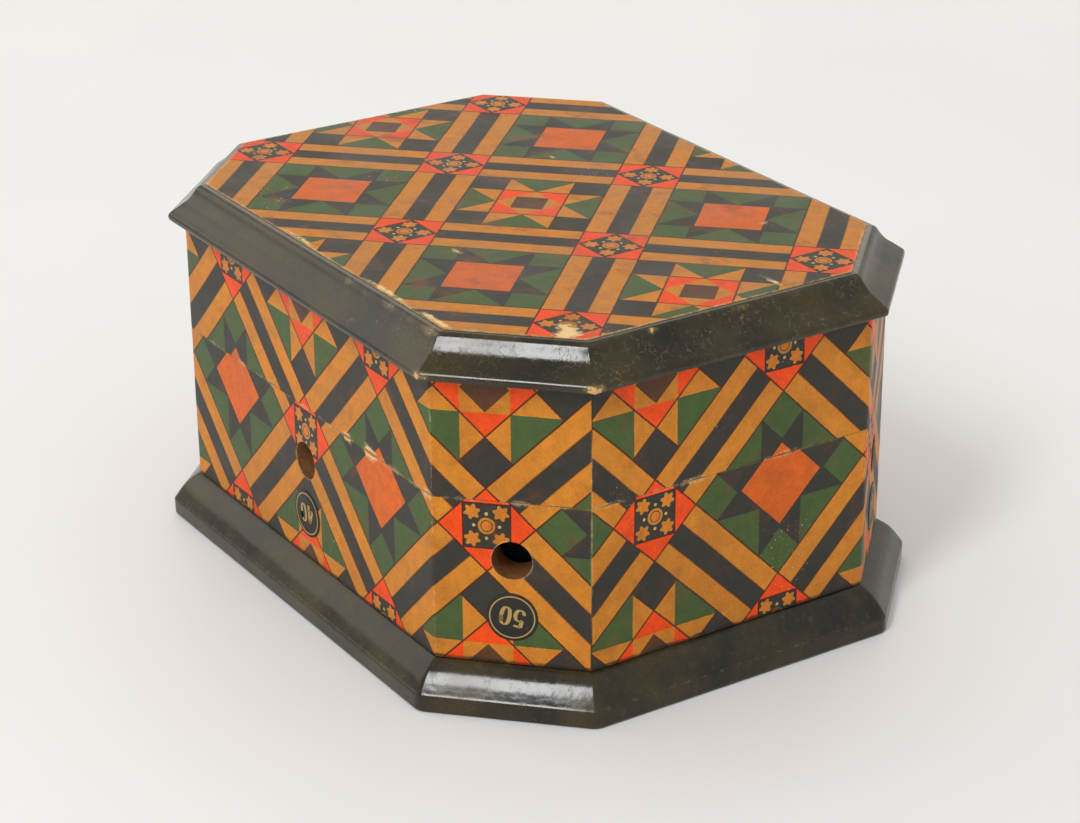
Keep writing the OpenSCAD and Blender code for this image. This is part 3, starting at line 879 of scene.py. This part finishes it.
class WallWrap:
    """A paper round four sides of the base or the lid, laid out flat from corner `first` on. Its edge at
    the seam was sawn and has chipped. The other edge is plain."""

    def __init__(self, first, low, high, seam_at_top):
        self.first = first
        self.low = low
        self.high = high
        self.seam_at_top = seam_at_top
        self.plain_z = low if seam_at_top else high
        self.corners = [sum(SIDE_LENGTHS[(first + j) % 8] for j in range(k)) for k in range(5)]
        self.length = self.corners[-1]
        self.hole_centres = []
        for station, side in HOLE_SIDES.items():
            order = (side - first) % 8
            if seam_at_top and order < 4:
                s = self.corners[order] + SIDE_LENGTHS[side] / 2
                self.hole_centres.append(Vector((s, HOLE_Z[station])))
        self.holes = [circle(centre, PAPER_HOLE_R, 48, 0.05) for centre in self.hole_centres]

    def edge_z(self, s):
        """Height of the edge at the seam."""
        lost = HINGE_NOTCH if in_hinge_notch(self.first, s) else seam_loss(self.first, s)
        return self.high - lost if self.seam_at_top else self.low + lost

    def outline(self):
        """The sheet's edge, anticlockwise, with steep sides to the notches for the hinges."""
        fine = steps_between(0, self.length, 0.45)
        if self.first == BACK_FIRST:
            middle = self.corners[2] + HALF_X - CUT
            for hinge_s in (middle - HINGE_X, middle + HINGE_X):
                for end in (hinge_s - HINGE_HALF, hinge_s + HINGE_HALF):
                    fine += [end - 0.02, end + 0.02]
        seam_edge = [Vector((s, self.edge_z(s))) for s in sorted(fine)]
        plain_edge = [Vector((s, self.plain_z)) for s in steps_between(0, self.length, 1.1)]
        if self.seam_at_top:
            return plain_edge + seam_edge[::-1]
        return seam_edge + plain_edge[::-1]

    def inner_points(self):
        """A grid that is closer at the folds and near the edges, and two rings round each hole."""
        columns = steps_between(0, self.length, 2.0)
        for corner in self.corners:
            columns += [corner + CORNER_R * CORNER_TURN * k / 6 for k in range(-3, 4)]
            columns += [corner - 1.2, corner + 1.2]
        rows = [self.low + 0.35, self.low + 1.0]
        rows += steps_between(self.low + 2.2, self.high - 2.2, 2.4)
        rows += [self.high - 1.0, self.high - 0.35]
        points = []
        for s in sorted(s for s in set(columns) if 0.2 < s < self.length - 0.2):
            for z in rows:
                inside = self.edge_z(s) - z if self.seam_at_top else z - self.edge_z(s)
                if inside > 0.15 and self.hole_gap(s, z) > 1.3:
                    points.append(Vector((s, z)))
        for centre in self.hole_centres:
            points += circle(centre, PAPER_HOLE_R + 0.35, 36) + circle(centre, PAPER_HOLE_R + 0.9, 24)
        return points

    def hole_gap(self, s, z):
        """Distance to the nearest thread hole's rim, or a long way where there is none."""
        gaps = [(Vector((s, z)) - centre).length - PAPER_HOLE_R for centre in self.hole_centres]
        return min(gaps, default=self.length)

    def wear(self, s, z):
        """Wear along the seam, down the folds, at the plain edge and round the holes."""
        seam_gap = abs(z - self.edge_z(s))
        fold_gap = min(abs(s - corner) for corner in self.corners)
        seam = nearness(seam_gap, 0.4) * (0.40 + 0.35 * ripple((s, 0, self.first), 5, 2.0))
        chipped = nearness(seam_gap, 1.3) * min(1.0, 3.0 * seam_loss(self.first, s))
        fold = nearness(fold_gap, 0.7) * (0.30 + 0.28 * ripple((s, z, 3), 5))
        foot = nearness(abs(z - self.plain_z), 0.8) * 0.25
        rim = nearness(self.hole_gap(s, z), 0.5) * (0.42 + 0.25 * ripple((s, z, 4), 3))
        return max(seam, chipped, fold, foot, rim)

    def grime(self, s, z):
        """Dirt and lacquer where the paper meets the board below it or above it."""
        reach = 1.3 if self.seam_at_top else 0.8
        return nearness(abs(z - self.plain_z), reach) * (0.85 + 0.5 * ripple((s, z, 9), 3))

    def place(self, s, z, side):
        """The point on the paper's face, a little cockled (side 0), or on its back (side 1)."""
        out = 0.01 if side else PAPER_T + 0.035 * ripple((s, z, self.first), 12)
        return wall_point(self.first, s, z, out)


def wall_paper(body, end, wrap, node_s, lift):
    """Printed paper on a wrap. An ornament lies at node_s, and the pattern was `lift` higher up before
    the lid was sawn off."""
    flat, triangles = flat_sheet(wrap.outline(), wrap.holes, wrap.inner_points())
    points, faces = solid_sheet(flat, triangles, wrap.place)
    lattice = [((s - node_s) / LATTICE, (z + lift - NODE_Z) / LATTICE) for s, z in flat] * 2
    wears = [wrap.wear(s, z) for s, z in flat] + [BACK_WEAR] * len(flat)
    grime = [wrap.grime(s, z) for s, z in flat] * 2
    piece = make_piece(f"{body}_{end}_print", body, points, faces, [WALL_PAPER], lattice,
                       wear=wears, grime=grime)
    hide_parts(f"{body}_{end}_paper")


def wall_papers():
    """The papers of the base and the lid. Their pattern was printed in one piece and sawn through."""
    front_node = SIDE_LENGTHS[5] + SIDE_LENGTHS[6] + NODE_S_FRONT_WALL
    spans = {"base": (PLINTH_TOP, SEAM_LOW, True, 0.0), "lid": (SEAM_HIGH, BOARD_Z, False, KERF)}
    for body, (low, high, seam_at_top, lift) in spans.items():
        wall_paper(body, "front", WallWrap(FRONT_FIRST, low, high, seam_at_top), front_node, lift)
        wall_paper(body, "back", WallWrap(BACK_FIRST, low, high, seam_at_top), NODE_S_RIGHT_END, lift)


# Torn and scratched places on the lid's paper, as (x, y, reach along x, reach along y, strength)
TOP_MARKS = (
    (56.0, -28.2, 2.8, 1.3, 1.0), (57.4, -29.6, 1.5, 2.2, 1.0), (57.5, 13.5, 3.2, 0.6, 0.62),
    (14.0, -24.5, 1.6, 0.6, 0.6), (-20.0, 18.0, 2.0, 0.5, 0.5), (33.0, 30.0, 0.7, 2.4, 0.5),
    (40.0, -44.4, 4.5, 0.7, 0.8), (24.0, -44.6, 6.0, 0.6, 0.75), (-8.0, -44.6, 5.0, 0.6, 0.7))


def top_paper():
    """The printed paper on the lid, rubbed along its edges and torn by the front right facet."""
    corners = octagon(-TOP_INSET)
    outline = []
    for i in range(8):
        here, there = corners[i], corners[(i + 1) % 8]
        inward = -direction(side_angle(i))
        count = round((there - here).length / 0.6)
        for k in range(count):
            flat = here.lerp(there, k / count)
            loss = 0.16 * max(0.0, ripple((flat.x, flat.y, 2), 1.6)) if k else 0.0
            outline.append(flat + inward * loss)
    edge_x, edge_y = HALF_X - TOP_INSET - 0.7, HALF_Y - TOP_INSET - 0.7
    areas = [(0, 0, edge_x, edge_y, 1.6)]
    areas += [(x, y, 1.6 * reach_x, 1.6 * reach_y, 0.45) for x, y, reach_x, reach_y, _ in TOP_MARKS]
    grid = []
    for middle_x, middle_y, half_x, half_y, spacing in areas:
        for x in steps_between(middle_x - half_x, middle_x + half_x, spacing):
            for y in steps_between(middle_y - half_y, middle_y + half_y, spacing):
                if edge_gap(Vector((x, y)), corners) > 0.4:
                    grid.append(Vector((x, y)))
    flat, triangles = flat_sheet(outline, [], grid)

    def place(x, y, side):
        return Vector((x, y, TOP_Z - PAPER_T + 0.01 if side else TOP_Z + 0.03 * ripple((x, y, 0), 14)))

    def wear_at(x, y):
        edge = nearness(edge_gap(Vector((x, y)), corners), 0.8) * (0.50 + 0.22 * ripple((x, y, 5), 7))
        marks = 0.0
        for mx, my, reach_x, reach_y, strength in TOP_MARKS:
            away = math.hypot((x - mx) / reach_x, (y - my) / reach_y) + 0.7 * ripple((x, y, mx), 0.9)
            marks = max(marks, strength * max(0.0, 1.3 - 0.75 * away))
        return min(1.0, max(edge, marks))

    points, faces = solid_sheet(flat, triangles, place)
    # The ornaments lie at one lattice step from the middle of the lid, and the pattern is turned
    lattice = [(y / LATTICE, x / LATTICE - 1) for x, y in flat] * 2
    wears = [wear_at(x, y) for x, y in flat] + [BACK_WEAR] * len(flat)
    piece = make_piece("lid_top_print", "lid", points, faces, [TOP_PAPER], lattice, wear=wears,
                       grime=[0.0] * len(points))
    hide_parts("lid_top_paper")


def edge_gap(point, corners):
    """Distance from a point inside the octagon to its nearest side."""
    return min((corners[i] - point).dot(direction(side_angle(i))) for i in range(8))


# ---------- Number labels ----------

# Each numeral is drawn with a broad pen: paths of points in a box one unit high
NUMERALS = {
    "0": (((0.50, 0.50), (0.45, 0.84), (0.30, 0.96), (0.15, 0.84), (0.10, 0.50),
           (0.15, 0.16), (0.30, 0.04), (0.45, 0.16), (0.50, 0.50), (0.45, 0.84)),),
    "1": (((0.30, 0.95), (0.30, 0.5), (0.30, 0.05)), ((0.32, 0.92), (0.12, 0.76)),
          ((0.12, 0.04), (0.48, 0.04))),
    "2": (((0.15, 0.74), (0.20, 0.90), (0.34, 0.95), (0.48, 0.76), (0.38, 0.48), (0.10, 0.08)),
          ((0.08, 0.08), (0.52, 0.08)), ((0.08, 0.12), (0.52, 0.12))),
    "3": (((0.13, 0.80), (0.22, 0.93), (0.36, 0.92), (0.45, 0.76), (0.38, 0.58), (0.24, 0.53)),
          ((0.24, 0.53), (0.42, 0.48), (0.50, 0.28), (0.40, 0.08), (0.24, 0.04), (0.10, 0.18))),
    "4": (((0.38, 0.95), (0.05, 0.30)), ((0.03, 0.28), (0.58, 0.28)),
          ((0.41, 0.95), (0.41, 0.5), (0.41, 0.05)), ((0.26, 0.04), (0.55, 0.04))),
    "5": (((0.17, 0.93), (0.50, 0.93)), ((0.17, 0.88), (0.49, 0.88)), ((0.17, 0.93), (0.15, 0.55)),
          ((0.15, 0.55), (0.28, 0.62), (0.44, 0.54), (0.50, 0.32), (0.42, 0.10), (0.26, 0.03),
           (0.12, 0.14), (0.14, 0.24))),
    "6": (((0.46, 0.84), (0.36, 0.95), (0.18, 0.82), (0.11, 0.50), (0.15, 0.16), (0.30, 0.04),
           (0.44, 0.12), (0.49, 0.32), (0.42, 0.52), (0.28, 0.56), (0.14, 0.42)),),
}
# The pen's widths and the step between numerals, as shares of a numeral's height
PEN_THIN = 0.06
PEN_BROAD = 0.19
NUMERAL_STEP = 0.66
NUMERAL_H = 3.7
# The ring's width, its distance from the rim, and the thickness of the gilt
RING_W = 0.24
RING_INSET = 0.5
GILT_T = 0.02
# How far each label was stuck on askew, in degrees
LABEL_TILTS = dict(zip(STATIONS, (4, 6, -11, -5, 3, 8)))


def pen_stroke(path, scale, shift):
    """Both edges of a pen stroke, which is broad where it runs up or down."""
    spine = [Vector(p) for p in (smooth_path(path, 5) if len(path) > 2 else path)]
    left, right = [], []
    for k, point in enumerate(spine):
        along = (spine[min(k + 1, len(spine) - 1)] - spine[max(k - 1, 0)]).normalized()
        width = PEN_THIN + (PEN_BROAD - PEN_THIN) * abs(along.y) ** 1.5
        across = Vector((-along.y, along.x)) * width / 2
        left.append((point + across) * scale + shift)
        right.append((point - across) * scale + shift)
    return left, right


def raised_strip(left, right, closed=False):
    """A thin raised strip between two edges, as flat points with a height of 0 or 1."""
    count = len(left)
    points = [(p, h) for h in (0, 1) for p in left + right]
    faces = []
    for k in range(count if closed else count - 1):
        after = (k + 1) % count
        l0, l1, r0, r1 = k, after, count + k, count + after
        up = 2 * count
        faces += [(up + l0, up + r0, up + r1, up + l1), (l0, l1, r1, r0),
                  (l0, up + l0, up + l1, l1), (r0, r1, up + r1, up + r0)]
    if not closed:
        up, last = 2 * count, count - 1
        faces += [(0, count, up + count, up), (last, up + last, up + count + last, count + last)]
    return points, faces


def number_label(station):
    """A black disc with a gold ring and upside-down numerals, on the paper below a thread hole."""
    low, high = box_mm(f"{station}_label")
    facing = side_angle(HOLE_SIDES[station])
    outward = Vector((*direction(facing), 0))
    foot = (low + high) / 2 - outward * LABEL_T / 2
    tilt = Matrix.Rotation(math.radians(LABEL_TILTS[station]), 3, outward)
    along = tilt @ Vector((*direction(facing + math.pi / 2), 0))
    up = tilt @ Vector((0, 0, 1))
    points, faces, slots = [], [], []

    def add(flat, new_faces, slot, base, thickness):
        start = len(points)
        for p, h in flat:
            points.append(foot + along * p.x + up * p.y + outward * (base + thickness * h))
        faces.extend(tuple(start + v for v in face) for face in new_faces)
        slots.extend([slot] * len(new_faces))

    rim = circle((0, 0), LABEL_R, 64, 0.10)
    n = len(rim)
    disc, disc_faces = loft([[(p, 0) for p in rim], [(p, 0.7) for p in rim], [(p * 0.985, 1) for p in rim]])
    disc_faces += [tuple(range(2 * n, 3 * n)), tuple(reversed(range(n)))]
    add(disc, disc_faces, 0, 0.0, LABEL_T)

    ring = [circle((0, 0), LABEL_R - RING_INSET - inset, 64) for inset in (RING_W, 0)]
    add(*raised_strip(*ring, closed=True), 1, LABEL_T, GILT_T)
    text = NUMBERS[station]
    width = NUMERAL_STEP * len(text)
    for k, numeral in enumerate(text):
        shift = Vector((NUMERAL_STEP * k - width / 2 + 0.03, -0.5)) * NUMERAL_H
        for path in NUMERALS[numeral]:
            left, right = pen_stroke(path, NUMERAL_H, shift)
            turned = [[-p for p in edge] for edge in (left, right)]
            add(*raised_strip(*turned), 1, LABEL_T, GILT_T)
    piece = make_piece(f"{station}_number", "base", points, faces, [LABEL_BLACK, LABEL_GOLD],
                       face_slots=slots)
    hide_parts(f"{station}_label")


# ---------- Thread ----------

# The radius that the thread is wound on, and the height of one turn
THREAD_CORE_R = 7.05
TURN_H = 0.55
ROWS_A_TURN = 4
THREAD_AROUND = 72


def wound_thread(station, material):
    """Thread wound on its reel: a barrel with a ridge for each turn, open along the reel's core."""
    low, high = box_mm(f"{station}_thread")
    middle = (low + high) / 2
    outer = (high.x - low.x) / 2
    height = high.z - low.z
    angles = [2 * math.pi * j / THREAD_AROUND for j in range(THREAD_AROUND)]

    def at(r, angle, z):
        return middle + Vector((r * math.cos(angle), r * math.sin(angle), z))

    rings = [[at(THREAD_CORE_R, angle, 0.9 - height / 2) for angle in angles]]
    rows = round(height / TURN_H * ROWS_A_TURN)
    for k in range(rows + 1):
        share = k / rows
        swell = outer - 0.12 - 0.7 * abs(2 * share - 1) ** 6
        ring = []
        for angle in angles:
            r = swell + 0.11 * math.cos(2 * math.pi * share * height / TURN_H - angle)
            r += 0.10 * ripple((share * height, math.cos(angle) * 4, math.sin(angle) * 4), 5)
            ring.append(at(r, angle, (share - 0.5) * (height - 0.2)))
        rings.append(ring)
    rings.append([at(THREAD_CORE_R, angle, height / 2 - 0.9) for angle in angles])

    points, faces = loft(rings + rings[:1])
    last = len(rings) * THREAD_AROUND
    faces = [tuple(v % last for v in face) for face in faces]
    piece = make_piece(f"{station}_wound_thread", f"{station}_reel", points[:last], faces, [material],
                       smooth_angle=60)
    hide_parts(f"{station}_thread")


# ---------- CAD nodes that stay get their materials ----------

def dress(node, material):
    for slot in NODES[node].material_slots:
        slot.link = "DATA"
        slot.material = material


def dress_nodes():
    sides = ("front_right_corner", "right_end", "back_right_corner", "back_wall",
             "back_left_corner", "left_end", "front_left_corner", "front_wall")
    for i, side in enumerate(sides):
        grain = WALL_WOODS[(i + 1) % 4]
        dress(f"base_{side}", grain)
        dress(f"lid_{side}", grain)
    for lining in ("base_wall_lining", "base_floor_lining", "lid_wall_lining", "lid_ceiling_lining"):
        dress(lining, LINING)
    for station in STATIONS:
        dress(f"{station}_peg", PEG_WOOD)
        dress(f"{station}_reel", REEL_WOOD)
    for hinge in ("left_hinge", "right_hinge"):
        for part in ("base_leaf", "lid_leaf", "pin"):
            dress(f"{hinge}_{part}", BRASS)


# ---------- Floor, light and camera ----------

def floor():
    """A pale floor that reaches well past the camera's view."""
    g = Graph("pale_floor")
    tint = g.paint(colour(238, 239, 240), g.noise(160, detail=3), colour(243, 244, 245))
    g.bump(g.noise(1.2, detail=4), 0.02)
    material = g.finish(tint, g.ramp(g.noise(40), 0.3, 0.7, 0.55, 0.65))
    half = 4.0
    mesh = bpy.data.meshes.new("floor")
    mesh.from_pydata([(-half, -half, 0), (half, -half, 0), (half, half, 0), (-half, half, 0)], [],
                     [(0, 1, 2, 3)])
    mesh.materials.append(material)
    piece = bpy.data.objects.new("floor", mesh)
    bpy.context.scene.collection.objects.link(piece)


def soft_light(name, place, size, power, tint):
    """A rectangular area light aimed at the middle of the box."""
    data = bpy.data.lights.new(name, "AREA")
    data.shape = "RECTANGLE"
    data.size, data.size_y = size
    data.energy = power
    data.color = tint
    light = bpy.data.objects.new(name, data)
    bpy.context.scene.collection.objects.link(light)
    light.location = place
    target = Vector((0, 0, 0.035))
    light.rotation_euler = (target - light.location).to_track_quat("-Z", "Y").to_euler()


def lights():
    """A bright room, a softbox that the front right facet mirrors, and two broad fill lights."""
    world = bpy.data.worlds.new("room")
    bpy.context.scene.world = world
    world.use_nodes = True
    background = world.node_tree.nodes["Background"]
    background.inputs["Color"].default_value = (1.0, 0.972, 0.938, 1)
    background.inputs["Strength"].default_value = 0.67
    soft_light("softbox", (0.42, -0.765, 0.94), (0.24, 0.48), 5.6, (0.985, 0.99, 1.0))
    soft_light("window", (-1.10, -0.65, 0.80), (0.9, 0.9), 2.0, (1.0, 0.95, 0.84))
    soft_light("bounce", (-1.3, 0.85, 0.75), (1.6, 1.0), 4.5, (1.0, 0.94, 0.82))
    bpy.context.scene.view_settings.view_transform = "Standard"


def camera():
    """The viewpoint: over the front right corner, looking down at about 24 degrees."""
    data = bpy.data.cameras.new("camera")
    data.sensor_width = 36
    data.lens = 94.96
    data.clip_start = 0.01
    piece = bpy.data.objects.new("camera", data)
    bpy.context.scene.collection.objects.link(piece)
    azimuth, elevation, roll = (math.radians(a) for a in (57.23, 24.04, 0.4))
    toward = Vector((-math.sin(azimuth) * math.cos(elevation), math.cos(azimuth) * math.cos(elevation),
                     -math.sin(elevation)))
    turn = Matrix.Rotation(roll, 4, toward) @ toward.to_track_quat("-Z", "Y").to_matrix().to_4x4()
    piece.matrix_world = Matrix.Translation((0.4234, -0.2705, 0.2504)) @ turn
    bpy.context.scene.camera = piece


lid_board()
base_board()
hinge_screws("base", "base_hinge_screws", -1)
hinge_screws("lid", "lid_hinge_screws", 1)
wall_papers()
top_paper()
for station_name in STATIONS:
    number_label(station_name)
thread_materials = {name: wound_cotton(name, dye) for name, dye in dict(DYES.values()).items()}
for station_name in STATIONS:
    wound_thread(station_name, thread_materials[DYES[station_name][0]])
dress_nodes()
floor()
lights()
camera()
